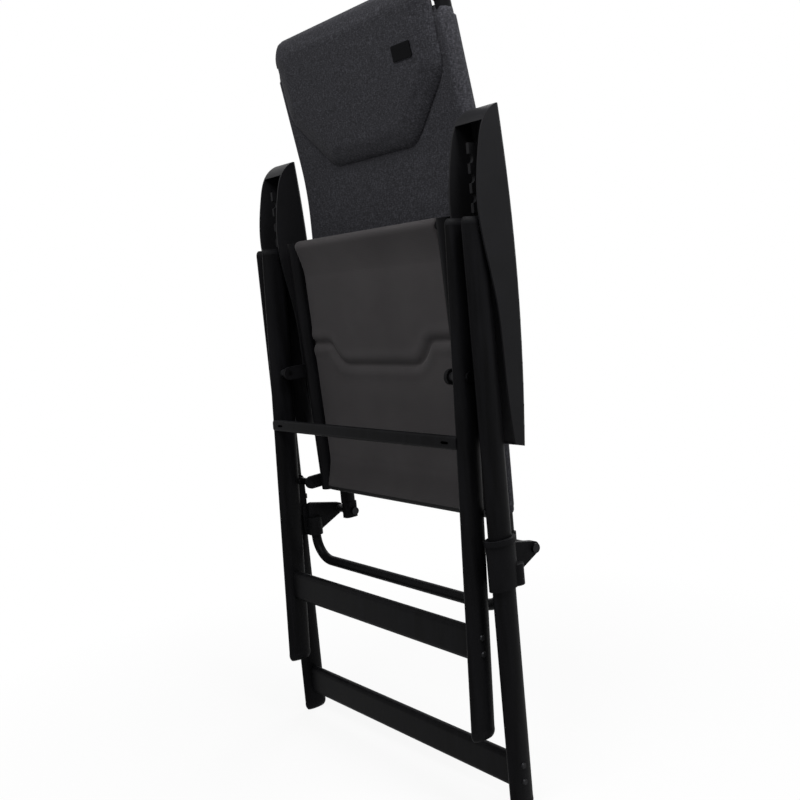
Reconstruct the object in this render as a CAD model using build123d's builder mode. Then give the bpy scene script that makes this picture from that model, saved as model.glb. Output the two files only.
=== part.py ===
"""Folding camp chair, folded flat and standing upright on the feet of its rear legs.

Millimetres, +Z up. The front of the chair faces -Y. Left and right in the names are as seen from
the front, so right is +X.
"""

import os
from math import cos, radians, sin, tan

from build123d import *

os.makedirs("parts", exist_ok=True)

# Gaps between pieces that move on each other
running_gap = 0.05
slide_gap = 0.5
side_gap = 0.4

# Seat size and play between neighbours, which set the widths of the whole chair
seat_wide = 408.0
seat_long = 431.0
seat_plate_x = seat_wide / 2 + 1.0
seat_plate_thick = 6.0
seat_leg_room = 16.0
leg_room = 9.0

# Oval tube of the four legs
leg_across = 18.0
leg_along = 42.0
leg_wall = 1.6
leg_top_z = 834.0
end_height = 14.0
cap_height = 9.0
end_round = 4.0
plug_depth = 18.0

# Rear legs stand upright, front legs lean and lie just inside them
front_leg_x = seat_plate_x + seat_plate_thick + seat_leg_room + leg_across / 2
rear_leg_x = front_leg_x + leg_across + leg_room
rear_leg_y = -16.8
front_foot_y = rear_leg_y - 38.5
front_foot_z = 111.0
front_top_y = rear_leg_y - 4.5

# Flattened tubes between the legs
crossbar_tall = 50.0
crossbar_deep = 16.0
crossbar_wall = 1.6
rear_crossbar_z = 56.0
front_crossbar_z = 247.0
brace_tall = 20.0
brace_deep = 11.0
brace_y = rear_leg_y - 36.5
brace_z = 533.0
brace_mark_long = 15.0
brace_mark_tall = 4.0
brace_mark_x = front_leg_x - leg_across / 2 - 14.0
screw_radius = 2.5
screw_head_radius = 4.5
screw_head_height = 2.2
screw_spread = 24.0
screw_grip = 8.0

# Hinge between the front and rear legs
hinge_y = rear_leg_y + 6.0
hinge_z = 816.0
hinge_radius = 4.0
hinge_head_radius = 7.0
hinge_head_height = 1.4
hinge_spacer_radius = 5.5

# Seat pivots: the front one on the front legs is as far from the hinge as from the rear one
seat_rear_y = hinge_y
seat_rear_z = 426.0
seat_front_z = (hinge_z + seat_rear_z) / 2
seat_bolt_radius = 4.0
seat_head_radius = 8.0
seat_head_height = 3.5
seat_spacer_radius = 7.0
seat_pin_shoulder = 6.0

# Seat frame and pad: the fabric lies over the rails and rolls round the cross tubes
seat_lean = 2.5
seat_y = rear_leg_y + 22.0
seat_z = 626.5
seat_tube = 24.0
seat_tube_wall = 1.5
seat_rail_x = seat_wide / 2 - seat_tube / 2
seat_rail_long = seat_long - 3.0
seat_cross_tube = 15.0
seat_roll = 11.0
seat_roll_half = seat_rail_x - seat_tube / 2 + 3.0
seat_cross_reach = seat_long / 2 - seat_roll
seat_sag = 2.0
seat_over = 14.0
seat_pad_wide = 2 * (seat_rail_x + 8.0)
seat_pad_long = seat_long - seat_roll
seat_side_draw = 3.5
seat_top_draw = 22.0
seat_corner = 26.0
seat_plate_round = 11.0
seat_boss_radius = 8.0
seat_seam_wide = 3.0
seat_seam_deep = 2.0
seat_seam_side = seat_rail_x - seat_tube / 2
seat_seam_outer = seat_seam_side - 50.0
seat_seam_inner = seat_seam_side - 82.0
seat_seam_high = -42.0
seat_seam_low = -7.0
seat_seam_bend = 12.0

# Slider on the rear leg and the yoke tube that ties both sliders
slider_low_z = 325.0
slider_tall = 71.0
slider_wall = 4.0
slider_lip = 2.0
slider_lip_tall = 7.0
slider_arm_x = front_leg_x + leg_across / 2 + 1.0
slider_arm_thick = 6.0
slider_arm_round = 10.0
slider_plate_x = rear_leg_x - 24.0
slider_plate_thick = 11.0
slider_plate_top_z = 372.0
yoke_x = rear_leg_x - 25.0
yoke_y = rear_leg_y + 24.0
yoke_low_z = 282.0
yoke_bend = 42.0
yoke_tube = 17.0
yoke_wall = 1.5
yoke_socket_wall = 4.0
yoke_socket_tall = 30.0
yoke_socket_depth = 20.0

# Back pivot behind the slider
back_pivot_y = rear_leg_y + 79.0
back_pivot_z = 361.0
back_bolt_radius = 4.0
back_bolt_head_radius = 7.0
back_bolt_head_height = 4.0
back_bush_radius = 7.0
ear_round = 9.5

# Back frame: two oval rails bent forward at the head, joined by a top tube
back_rail_x = seat_wide / 2 - 4.0
back_rail_y = rear_leg_y + 74.0
back_rail_across = 16.0
back_rail_along = 28.0
back_rail_wall = 1.5
back_rail_low_z = 378.0
back_bend_z = 930.0
back_bend_round = 160.0
back_lean = 10.5
back_rail_top_z = 1133.0
top_tube = 18.0
top_tube_wall = 1.5
corner_reach = 25.0
corner_bend = 20.0
corner_across = 20.0
corner_along = 30.0
shoe_across = 18.0
shoe_along = 26.0
shoe_corner = 7.0
shoe_low_z = 350.0
shoe_y = rear_leg_y + 76.0

# Back pad, headrest cushion and its bare patch
back_pad_half = back_rail_x + 12.0
back_pad_low_z = 396.0
back_pad_top_z = back_rail_top_z - 3.0
back_pad_front = 17.0
back_pad_rear = 19.0
back_pad_corner = 17.0
back_pad_end_tall = 14.0
back_pad_end_draw = 8.0
back_pad_end_corner = 13.0
back_pad_bend_reach = 50.0
back_seam_radius = 2.5
back_seam_gap = 160.0
headrest_thick = 14.0
headrest_edge_draw = 3.0
headrest_side_draw = 5.0
headrest_front_draw = 22.0
headrest_half = back_pad_half - 16.0
headrest_over = 37.5
headrest_bottom = 24.0
headrest_bottom_half = headrest_half - 93.0
headrest_side_half = headrest_half - 12.0
headrest_low_share = 0.426
headrest_high_share = 0.508
headrest_corner = 18.0
patch_wide = 41.0
patch_tall = 21.5
patch_corner = 2.0
patch_thick = 1.2
patch_x = headrest_half - 66.0
patch_down = 87.0

# Armrests: channels open towards the front, pivoted on the back rails
arm_inner_x = back_rail_x + 23.0
arm_outer_x = arm_inner_x + 52.0
arm_wall = 2.6
arm_top_wall = 3.0
arm_back_y = rear_leg_y + 51.0
arm_low_z = 517.0
arm_high_z = 980.0
arm_edge_round = 5.0
arm_arch = 12.0
arm_end_deep = 20.0
arm_end_up = 6.0
arm_quarter_deep = 27.0
arm_quarter_up = 90.0
arm_middle_deep = 33.0
arm_middle_up = 204.0
arm_deep = 53.0
arm_deep_up = 328.0
arm_bow_low_deep = 43.3
arm_bow_low_down = 57.0
arm_bow_high_deep = 30.4
arm_bow_high_down = 20.0
arm_tip_flat = 6.0
arm_mouth_z = arm_high_z - 22.0
arm_ceiling_z = arm_high_z - 12.0
arm_pivot_y = rear_leg_y + 42.0
arm_pivot_z = 581.0
arm_pin_radius = 3.5
arm_bush_radius = 5.5
arm_bush_proud = 2.0
arm_flange_radius = 8.5
arm_flange_thick = 2.2
arm_bracket_tall = 36.0
arm_bracket_wall = 4.0
arm_bracket_gap = 2.0
arm_lug_x = back_rail_x + 6.0
arm_lug_round = 10.0
arm_bracket_round = 15.0
rack_x = (front_leg_x + rear_leg_x) / 2
rack_thick = 5.0
rack_base_wide = 27.0
rack_base_low = 2.0
rack_tip_y = rear_leg_y + 13.5
rack_low_z = 806.0
rack_high_z = 932.0
rack_first_z = 833.0
rack_pitch = 26.0
rack_notch_radius = 6.5
rack_notches = 4

# Planes and points worked out from the sizes above
front_axis = Vector(0, front_top_y - front_foot_y, leg_top_z - front_foot_z)
front_leg_long = front_axis.length
front_leg_plane = Plane((front_leg_x, front_foot_y, front_foot_z), x_dir=(1, 0, 0), z_dir=front_axis)
rear_leg_plane = Plane((rear_leg_x, rear_leg_y, 0))
front_rise = (front_top_y - front_foot_y) / (leg_top_z - front_foot_z)
seat_front_y = front_foot_y + front_rise * (seat_front_z - front_foot_z)
front_crossbar_y = front_foot_y + front_rise * (front_crossbar_z - front_foot_z)
seat_top_side = Vector(0, cos(radians(seat_lean)), sin(radians(seat_lean)))
seat_plane = Plane((0, seat_y, seat_z), x_dir=(1, 0, 0), z_dir=seat_top_side)
seat_front_along = seat_plane.to_local_coords(Vector(0, seat_front_y, seat_front_z)).Y
seat_rear_along = seat_plane.to_local_coords(Vector(0, seat_rear_y, seat_rear_z)).Y
seat_front_foot = seat_plane.from_local_coords(Vector(0, seat_front_along, 0))
seat_rear_foot = seat_plane.from_local_coords(Vector(0, seat_rear_along, 0))
back_top_y = back_rail_y - tan(radians(back_lean)) * (back_rail_top_z - back_bend_z)
head_up = Vector(0, -sin(radians(back_lean)), cos(radians(back_lean)))
head_front = Vector(0, -cos(radians(back_lean)), -sin(radians(back_lean)))
head_plane = Plane((0, back_rail_y, back_bend_z), x_dir=(1, 0, 0), z_dir=head_front)
top_tube_at = Vector(0, back_top_y, back_rail_top_z) + head_up * corner_reach
head_long = (back_rail_top_z - back_bend_z) / cos(radians(back_lean))
headrest_top = head_long + headrest_over
headrest_side_low = headrest_low_share * headrest_top
headrest_side_high = headrest_high_share * headrest_top
patch_up = headrest_top - patch_down

# Rear frame: oval tubes upright, a flattened tube screwed between them
with BuildPart() as rear_leg_right:
    with BuildSketch(rear_leg_plane.offset(end_height)):
        Ellipse(leg_across / 2, leg_along / 2)
        Ellipse(leg_across / 2 - leg_wall, leg_along / 2 - leg_wall, mode=Mode.SUBTRACT)
    extrude(amount=leg_top_z - end_height - cap_height)
    with BuildSketch(Plane.YZ):
        with Locations((hinge_y, hinge_z)):
            Circle(hinge_radius + running_gap)
        with Locations((rear_leg_y, rear_crossbar_z)):
            with GridLocations(0, screw_spread, 1, 2):
                Circle(screw_radius)
    extrude(amount=2 * rear_leg_x, mode=Mode.SUBTRACT)
rear_leg_right.part.label = "rear_leg_right"
export_step(rear_leg_right.part, "parts/rear_leg_right.step")

with BuildPart() as rear_leg_left:
    mirror(rear_leg_right.part, about=Plane.YZ)
rear_leg_left.part.label = "rear_leg_left"
export_step(rear_leg_left.part, "parts/rear_leg_left.step")

with BuildPart() as rear_crossbar:
    with BuildSketch(Plane.YZ):
        with Locations((rear_leg_y, rear_crossbar_z)):
            SlotOverall(crossbar_tall, crossbar_deep, rotation=90)
            SlotOverall(
                crossbar_tall - 2 * crossbar_wall,
                crossbar_deep - 2 * crossbar_wall,
                rotation=90,
                mode=Mode.SUBTRACT,
            )
    extrude(amount=rear_leg_x, both=True)
    with BuildSketch(Plane.XY):
        with Locations((rear_leg_x, rear_leg_y), (-rear_leg_x, rear_leg_y)):
            Ellipse(leg_across / 2, leg_along / 2)
    extrude(amount=leg_top_z, mode=Mode.SUBTRACT)
rear_crossbar.part.label = "rear_crossbar"
export_step(rear_crossbar.part, "parts/rear_crossbar.step")

with BuildPart() as rear_crossbar_screws:
    with BuildSketch(Plane.YZ.offset(rear_leg_x - leg_across / 2 - screw_grip)):
        with Locations((rear_leg_y, rear_crossbar_z)):
            with GridLocations(0, screw_spread, 1, 2):
                Circle(screw_radius)
    extrude(amount=leg_across + screw_grip)
    with BuildSketch(Plane.YZ.offset(rear_leg_x + leg_across / 2)):
        with Locations((rear_leg_y, rear_crossbar_z)):
            with GridLocations(0, screw_spread, 1, 2):
                Circle(screw_head_radius)
    extrude(amount=screw_head_height, taper=25)
    mirror(about=Plane.YZ)
rear_crossbar_screws.part.label = "rear_crossbar_screws"
export_step(rear_crossbar_screws.part, "parts/rear_crossbar_screws.step")

# Feet and caps are plastic plugs with rounded ends, pushed into the leg tubes
with BuildPart() as rear_feet:
    with BuildSketch(rear_leg_plane):
        Ellipse(leg_across / 2 - end_round, leg_along / 2 - end_round)
    with BuildSketch(rear_leg_plane.offset(end_round)):
        Ellipse(leg_across / 2 - end_round / 4, leg_along / 2 - end_round / 4)
    with BuildSketch(rear_leg_plane.offset(end_height)):
        Ellipse(leg_across / 2, leg_along / 2)
    loft()
    with BuildSketch(rear_leg_plane.offset(end_height)):
        Ellipse(leg_across / 2 - leg_wall, leg_along / 2 - leg_wall)
    extrude(amount=plug_depth)
    mirror(about=Plane.YZ)
rear_feet.part.label = "rear_feet"
export_step(rear_feet.part, "parts/rear_feet.step")

rear_cap_plane = Plane((rear_leg_x, rear_leg_y, leg_top_z), x_dir=(1, 0, 0), z_dir=(0, 0, -1))
with BuildPart() as rear_leg_caps:
    with BuildSketch(rear_cap_plane):
        Ellipse(leg_across / 2 - end_round, leg_along / 2 - end_round)
    with BuildSketch(rear_cap_plane.offset(end_round)):
        Ellipse(leg_across / 2 - end_round / 4, leg_along / 2 - end_round / 4)
    with BuildSketch(rear_cap_plane.offset(cap_height)):
        Ellipse(leg_across / 2, leg_along / 2)
    loft()
    mirror(about=Plane.YZ)
rear_leg_caps.part.label = "rear_leg_caps"
export_step(rear_leg_caps.part, "parts/rear_leg_caps.step")

# Front frame: shorter leaning legs, one flattened tube low down and a slim brace with slotted ends higher up
with BuildPart() as front_leg_right:
    with BuildSketch(front_leg_plane.offset(end_height)):
        Ellipse(leg_across / 2, leg_along / 2)
        Ellipse(leg_across / 2 - leg_wall, leg_along / 2 - leg_wall, mode=Mode.SUBTRACT)
    extrude(amount=front_leg_long - end_height - cap_height)
    with BuildSketch(Plane.YZ):
        with Locations((hinge_y, hinge_z)):
            Circle(hinge_radius)
        with Locations((seat_front_y, seat_front_z)):
            Circle(seat_bolt_radius + running_gap)
        with Locations((front_crossbar_y, front_crossbar_z)):
            with GridLocations(0, screw_spread, 1, 2):
                Circle(screw_radius)
    extrude(amount=2 * front_leg_x, mode=Mode.SUBTRACT)
front_leg_right.part.label = "front_leg_right"
export_step(front_leg_right.part, "parts/front_leg_right.step")

with BuildPart() as front_leg_left:
    mirror(front_leg_right.part, about=Plane.YZ)
front_leg_left.part.label = "front_leg_left"
export_step(front_leg_left.part, "parts/front_leg_left.step")

front_bar_across = front_leg_plane.y_dir
front_crossbar_plane = Plane((0, front_crossbar_y, front_crossbar_z), x_dir=front_bar_across, z_dir=(1, 0, 0))
with BuildPart() as front_crossbar:
    with BuildSketch(front_crossbar_plane):
        SlotOverall(crossbar_tall, crossbar_deep, rotation=90)
        SlotOverall(
            crossbar_tall - 2 * crossbar_wall,
            crossbar_deep - 2 * crossbar_wall,
            rotation=90,
            mode=Mode.SUBTRACT,
        )
    extrude(amount=front_leg_x, both=True)
    with BuildSketch(front_leg_plane):
        with Locations((0, 0), (-2 * front_leg_x, 0)):
            Ellipse(leg_across / 2, leg_along / 2)
    extrude(amount=front_leg_long, mode=Mode.SUBTRACT)
front_crossbar.part.label = "front_crossbar"
export_step(front_crossbar.part, "parts/front_crossbar.step")

front_brace_plane = Plane((0, brace_y, brace_z), x_dir=front_bar_across, z_dir=(1, 0, 0))
with BuildPart() as front_brace_bar:
    with BuildSketch(front_brace_plane):
        SlotOverall(brace_tall, brace_deep, rotation=90)
        SlotOverall(
            brace_tall - 2 * crossbar_wall,
            brace_deep - 2 * crossbar_wall,
            rotation=90,
            mode=Mode.SUBTRACT,
        )
    extrude(amount=front_leg_x, both=True)
    with BuildSketch(front_leg_plane):
        with Locations((0, 0), (-2 * front_leg_x, 0)):
            Ellipse(leg_across / 2, leg_along / 2)
    extrude(amount=front_leg_long, mode=Mode.SUBTRACT)
    with BuildSketch(Plane((0, brace_y, brace_z), x_dir=(1, 0, 0), z_dir=-front_bar_across)):
        with GridLocations(2 * brace_mark_x, 0, 2, 1):
            SlotOverall(brace_mark_long, brace_mark_tall)
    extrude(amount=brace_deep, mode=Mode.SUBTRACT)
front_brace_bar.part.label = "front_brace_bar"
export_step(front_brace_bar.part, "parts/front_brace_bar.step")

with BuildPart() as front_crossbar_screws:
    with BuildSketch(Plane.YZ.offset(front_leg_x - leg_across / 2 - screw_grip)):
        with Locations((front_crossbar_y, front_crossbar_z)):
            with GridLocations(0, screw_spread, 1, 2):
                Circle(screw_radius)
    extrude(amount=leg_across + screw_grip)
    with BuildSketch(Plane.YZ.offset(front_leg_x + leg_across / 2)):
        with Locations((front_crossbar_y, front_crossbar_z)):
            with GridLocations(0, screw_spread, 1, 2):
                Circle(screw_head_radius)
    extrude(amount=screw_head_height, taper=25)
    mirror(about=Plane.YZ)
front_crossbar_screws.part.label = "front_crossbar_screws"
export_step(front_crossbar_screws.part, "parts/front_crossbar_screws.step")

with BuildPart() as front_feet:
    with BuildSketch(front_leg_plane):
        Ellipse(leg_across / 2 - end_round, leg_along / 2 - end_round)
    with BuildSketch(front_leg_plane.offset(end_round)):
        Ellipse(leg_across / 2 - end_round / 4, leg_along / 2 - end_round / 4)
    with BuildSketch(front_leg_plane.offset(end_height)):
        Ellipse(leg_across / 2, leg_along / 2)
    loft()
    with BuildSketch(front_leg_plane.offset(end_height)):
        Ellipse(leg_across / 2 - leg_wall, leg_along / 2 - leg_wall)
    extrude(amount=plug_depth)
    mirror(about=Plane.YZ)
front_feet.part.label = "front_feet"
export_step(front_feet.part, "parts/front_feet.step")

front_cap_plane = Plane((front_leg_x, front_top_y, leg_top_z), x_dir=(1, 0, 0), z_dir=-front_axis)
with BuildPart() as front_leg_caps:
    with BuildSketch(front_cap_plane):
        Ellipse(leg_across / 2 - end_round, leg_along / 2 - end_round)
    with BuildSketch(front_cap_plane.offset(end_round)):
        Ellipse(leg_across / 2 - end_round / 4, leg_along / 2 - end_round / 4)
    with BuildSketch(front_cap_plane.offset(cap_height)):
        Ellipse(leg_across / 2, leg_along / 2)
    loft()
    mirror(about=Plane.YZ)
front_leg_caps.part.label = "front_leg_caps"
export_step(front_leg_caps.part, "parts/front_leg_caps.step")

# Leg hinge: a flat-headed pin through both legs, a spacer between them
hinge_inner_x = front_leg_x - leg_across / 2
hinge_outer_x = rear_leg_x + leg_across / 2 + side_gap
with BuildPart() as leg_hinge_pins:
    with BuildSketch(Plane.YZ.offset(hinge_inner_x)):
        with Locations((hinge_y, hinge_z)):
            Circle(hinge_radius)
    extrude(amount=hinge_outer_x - hinge_inner_x)
    with BuildSketch(Plane.YZ.offset(hinge_outer_x)):
        with Locations((hinge_y, hinge_z)):
            Circle(hinge_head_radius)
    extrude(amount=hinge_head_height)
    with BuildSketch(Plane.YZ.offset(hinge_inner_x)):
        with Locations((hinge_y, hinge_z)):
            Circle(hinge_head_radius)
    extrude(amount=-hinge_head_height)
    mirror(about=Plane.YZ)
leg_hinge_pins.part.label = "leg_hinge_pins"
export_step(leg_hinge_pins.part, "parts/leg_hinge_pins.step")

hinge_spacer_low_x = front_leg_x + leg_across / 2
hinge_spacer_high_x = rear_leg_x - leg_across / 2 - side_gap
with BuildPart() as leg_hinge_spacers:
    with BuildSketch(Plane.YZ.offset(hinge_spacer_low_x)):
        with Locations((hinge_y, hinge_z)):
            Circle(hinge_spacer_radius)
            Circle(hinge_radius, mode=Mode.SUBTRACT)
    extrude(amount=hinge_spacer_high_x - hinge_spacer_low_x)
    mirror(about=Plane.YZ)
leg_hinge_spacers.part.label = "leg_hinge_spacers"
export_step(leg_hinge_spacers.part, "parts/leg_hinge_spacers.step")

# Seat frame: two side rails that show below the pad, and two cross tubes inside its rolled ends
seat_rail_start = seat_plane.from_local_coords(Vector(seat_rail_x, seat_rail_long / 2, 0))
seat_rail_plane = Plane(seat_rail_start, x_dir=(1, 0, 0), z_dir=-seat_plane.y_dir)
with BuildPart() as seat_rail_right:
    with BuildSketch(seat_rail_plane):
        Circle(seat_tube / 2)
        Circle(seat_tube / 2 - seat_tube_wall, mode=Mode.SUBTRACT)
    extrude(amount=seat_rail_long)
seat_rail_right.part.label = "seat_rail_right"
export_step(seat_rail_right.part, "parts/seat_rail_right.step")

with BuildPart() as seat_rail_left:
    mirror(seat_rail_right.part, about=Plane.YZ)
seat_rail_left.part.label = "seat_rail_left"
export_step(seat_rail_left.part, "parts/seat_rail_left.step")

seat_front_cross_at = seat_plane.from_local_coords(Vector(0, -seat_cross_reach, 0))
seat_rear_cross_at = seat_plane.from_local_coords(Vector(0, seat_cross_reach, 0))
with BuildPart() as seat_front_tube:
    with BuildSketch(Plane(seat_front_cross_at, x_dir=seat_top_side, z_dir=(1, 0, 0))):
        Circle(seat_cross_tube / 2)
        Circle(seat_cross_tube / 2 - seat_tube_wall, mode=Mode.SUBTRACT)
    extrude(amount=seat_rail_x, both=True)
    with BuildSketch(seat_rail_plane):
        with Locations((0, 0), (-2 * seat_rail_x, 0)):
            Circle(seat_tube / 2)
    extrude(amount=seat_rail_long, mode=Mode.SUBTRACT)
seat_front_tube.part.label = "seat_front_tube"
export_step(seat_front_tube.part, "parts/seat_front_tube.step")

with BuildPart() as seat_rear_tube:
    with BuildSketch(Plane(seat_rear_cross_at, x_dir=seat_top_side, z_dir=(1, 0, 0))):
        Circle(seat_cross_tube / 2)
        Circle(seat_cross_tube / 2 - seat_tube_wall, mode=Mode.SUBTRACT)
    extrude(amount=seat_rail_x, both=True)
    with BuildSketch(seat_rail_plane):
        with Locations((0, 0), (-2 * seat_rail_x, 0)):
            Circle(seat_tube / 2)
    extrude(amount=seat_rail_long, mode=Mode.SUBTRACT)
seat_rear_tube.part.label = "seat_rear_tube"
export_step(seat_rear_tube.part, "parts/seat_rear_tube.step")

# Seat pad: foam and fabric over the rails, crowned on top, rolled round both cross tubes
with BuildPart() as seat_pad:
    with BuildSketch(seat_plane.offset(seat_sag)):
        RectangleRounded(seat_pad_wide - 2 * seat_side_draw, seat_pad_long, seat_corner)
    with BuildSketch(seat_plane.offset((seat_sag + seat_over) / 2)):
        RectangleRounded(seat_pad_wide, seat_pad_long, seat_corner)
    with BuildSketch(seat_plane.offset(seat_over)):
        RectangleRounded(seat_pad_wide - 2 * seat_top_draw, seat_pad_long - 2 * seat_top_draw, seat_corner)
    loft()
    with BuildSketch(Plane(seat_front_cross_at, x_dir=seat_top_side, z_dir=(1, 0, 0))):
        with Locations((0, 0), (0, -2 * seat_cross_reach)):
            Circle(seat_roll)
    extrude(amount=seat_roll_half, both=True)
    with BuildSketch(seat_plane.offset(seat_sag)):
        with BuildLine():
            FilletPolyline(
                (-seat_seam_side, seat_seam_high),
                (-seat_seam_outer, seat_seam_high),
                (-seat_seam_inner, seat_seam_low),
                (seat_seam_inner, seat_seam_low),
                (seat_seam_outer, seat_seam_high),
                (seat_seam_side, seat_seam_high),
                radius=seat_seam_bend,
            )
        trace(line_width=seat_seam_wide)
    extrude(amount=seat_seam_deep, mode=Mode.SUBTRACT)
    with BuildSketch(seat_rail_plane):
        with Locations((0, 0), (-2 * seat_rail_x, 0)):
            Circle(seat_tube / 2)
    extrude(amount=seat_rail_long, mode=Mode.SUBTRACT)
    with BuildSketch(Plane(seat_front_cross_at, x_dir=seat_top_side, z_dir=(1, 0, 0))):
        with Locations((0, 0), (0, -2 * seat_cross_reach)):
            Circle(seat_cross_tube / 2)
    extrude(amount=seat_rail_x, both=True, mode=Mode.SUBTRACT)
seat_pad.part.label = "seat_pad"
export_step(seat_pad.part, "parts/seat_pad.step")

# Brackets carry the seat pivots forward of the rails
with BuildPart() as seat_front_brackets:
    with BuildSketch(Plane.YZ.offset(seat_plate_x)):
        with Locations((seat_front_y, seat_front_z), (seat_front_foot.Y, seat_front_foot.Z)):
            Circle(seat_plate_round)
        make_hull()
        with Locations((seat_front_y, seat_front_z)):
            Circle(seat_bolt_radius, mode=Mode.SUBTRACT)
    extrude(amount=seat_plate_thick)
    with BuildSketch(Plane.YZ.offset(seat_rail_x)):
        with Locations((seat_front_foot.Y, seat_front_foot.Z)):
            Circle(seat_boss_radius)
    extrude(amount=seat_plate_x - seat_rail_x)
    with BuildSketch(seat_rail_plane):
        Circle(seat_tube / 2)
    extrude(amount=seat_rail_long, mode=Mode.SUBTRACT)
    mirror(about=Plane.YZ)
seat_front_brackets.part.label = "seat_front_brackets"
export_step(seat_front_brackets.part, "parts/seat_front_brackets.step")

with BuildPart() as seat_rear_brackets:
    with BuildSketch(Plane.YZ.offset(seat_plate_x)):
        with Locations((seat_rear_y, seat_rear_z), (seat_rear_foot.Y, seat_rear_foot.Z)):
            Circle(seat_plate_round)
        make_hull()
        with Locations((seat_rear_y, seat_rear_z)):
            Circle(seat_bolt_radius, mode=Mode.SUBTRACT)
    extrude(amount=seat_plate_thick)
    with BuildSketch(Plane.YZ.offset(seat_rail_x)):
        with Locations((seat_rear_foot.Y, seat_rear_foot.Z)):
            Circle(seat_boss_radius)
    extrude(amount=seat_plate_x - seat_rail_x)
    with BuildSketch(seat_rail_plane):
        Circle(seat_tube / 2)
    extrude(amount=seat_rail_long, mode=Mode.SUBTRACT)
    mirror(about=Plane.YZ)
seat_rear_brackets.part.label = "seat_rear_brackets"
export_step(seat_rear_brackets.part, "parts/seat_rear_brackets.step")

# Bolts of the seat's front pivot run through the front legs
seat_head_x = front_leg_x + leg_across / 2 + side_gap
with BuildPart() as seat_front_bolts:
    with BuildSketch(Plane.YZ.offset(seat_plate_x)):
        with Locations((seat_front_y, seat_front_z)):
            Circle(seat_bolt_radius)
    extrude(amount=seat_head_x - seat_plate_x)
    with BuildSketch(Plane.YZ.offset(seat_head_x)):
        with Locations((seat_front_y, seat_front_z)):
            Circle(seat_head_radius)
    extrude(amount=seat_head_height)
    mirror(about=Plane.YZ)
seat_front_bolts.part.label = "seat_front_bolts"
export_step(seat_front_bolts.part, "parts/seat_front_bolts.step")

seat_spacer_x = seat_plate_x + seat_plate_thick
with BuildPart() as seat_front_spacers:
    with BuildSketch(Plane.YZ.offset(seat_spacer_x)):
        with Locations((seat_front_y, seat_front_z)):
            Circle(seat_spacer_radius)
            Circle(seat_bolt_radius, mode=Mode.SUBTRACT)
    extrude(amount=front_leg_x - leg_across / 2 - side_gap - seat_spacer_x)
    mirror(about=Plane.YZ)
seat_front_spacers.part.label = "seat_front_spacers"
export_step(seat_front_spacers.part, "parts/seat_front_spacers.step")

# Shouldered pins of the seat's rear pivot pass behind the front legs into the sliders
with BuildPart() as seat_rear_pins:
    with BuildSketch(Plane.YZ.offset(seat_plate_x)):
        with Locations((seat_rear_y, seat_rear_z)):
            Circle(seat_bolt_radius)
    extrude(amount=slider_arm_x + slider_arm_thick - seat_plate_x)
    with BuildSketch(Plane.YZ.offset(seat_spacer_x)):
        with Locations((seat_rear_y, seat_rear_z)):
            Circle(seat_pin_shoulder)
    extrude(amount=slider_arm_x - side_gap - seat_spacer_x)
    mirror(about=Plane.YZ)
seat_rear_pins.part.label = "seat_rear_pins"
export_step(seat_rear_pins.part, "parts/seat_rear_pins.step")

# Slider: plastic sleeve on the rear leg with an arm for the seat, an ear for the back and a tube socket
slider_across = leg_across + 2 * (slide_gap + slider_wall)
slider_along = leg_along + 2 * (slide_gap + slider_wall)
slider_top_z = slider_low_z + slider_tall
slider_web_y = yoke_y - ear_round
with BuildPart() as slider_right:
    with BuildSketch(Plane.XY.offset(slider_low_z)):
        with Locations((rear_leg_x, rear_leg_y)):
            Ellipse(slider_across / 2, slider_along / 2)
    extrude(amount=slider_tall)
    with BuildSketch(Plane.XY.offset(slider_top_z - slider_lip_tall)):
        with Locations((rear_leg_x, rear_leg_y)):
            Ellipse(slider_across / 2 + slider_lip, slider_along / 2 + slider_lip)
    extrude(amount=slider_lip_tall)
    with BuildSketch(Plane.XY.offset(slider_low_z)):
        with Locations((yoke_x, yoke_y), (rear_leg_x, yoke_y)):
            Circle(yoke_tube / 2 + yoke_socket_wall)
        make_hull()
    extrude(amount=yoke_socket_tall)
    with BuildSketch(Plane.YZ.offset(slider_plate_x)):
        with Locations((back_pivot_y, back_pivot_z)):
            Circle(ear_round)
        with Locations((yoke_y, slider_low_z + ear_round), (yoke_y, slider_plate_top_z)):
            Circle(ear_round)
        make_hull()
    extrude(amount=slider_plate_thick)
    with BuildSketch(Plane.YZ.offset(slider_plate_x + slider_plate_thick / 2)):
        with Locations((slider_web_y, slider_low_z + ear_round), (slider_web_y, slider_plate_top_z)):
            Circle(ear_round)
        make_hull()
    extrude(amount=rear_leg_x - slider_plate_x - slider_plate_thick / 2)
    with BuildSketch(Plane.YZ.offset(slider_arm_x)):
        with Locations((seat_rear_y, seat_rear_z), (seat_rear_y, slider_plate_top_z)):
            Circle(slider_arm_round)
        make_hull()
    extrude(amount=slider_arm_thick)
    with BuildSketch(Plane.XY):
        with Locations((rear_leg_x, rear_leg_y)):
            Ellipse(leg_across / 2 + slide_gap, leg_along / 2 + slide_gap)
    extrude(amount=leg_top_z, mode=Mode.SUBTRACT)
    with BuildSketch(Plane.YZ):
        with Locations((seat_rear_y, seat_rear_z)):
            Circle(seat_bolt_radius + running_gap)
        with Locations((back_pivot_y, back_pivot_z)):
            Circle(back_bolt_radius)
    extrude(amount=2 * rear_leg_x, mode=Mode.SUBTRACT)
    with BuildSketch(Plane.XY.offset(slider_low_z)):
        with Locations((yoke_x, yoke_y)):
            Circle(yoke_tube / 2)
    extrude(amount=yoke_socket_depth, mode=Mode.SUBTRACT)
slider_right.part.label = "slider_right"
export_step(slider_right.part, "parts/slider_right.step")

with BuildPart() as slider_left:
    mirror(slider_right.part, about=Plane.YZ)
slider_left.part.label = "slider_left"
export_step(slider_left.part, "parts/slider_left.step")

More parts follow.
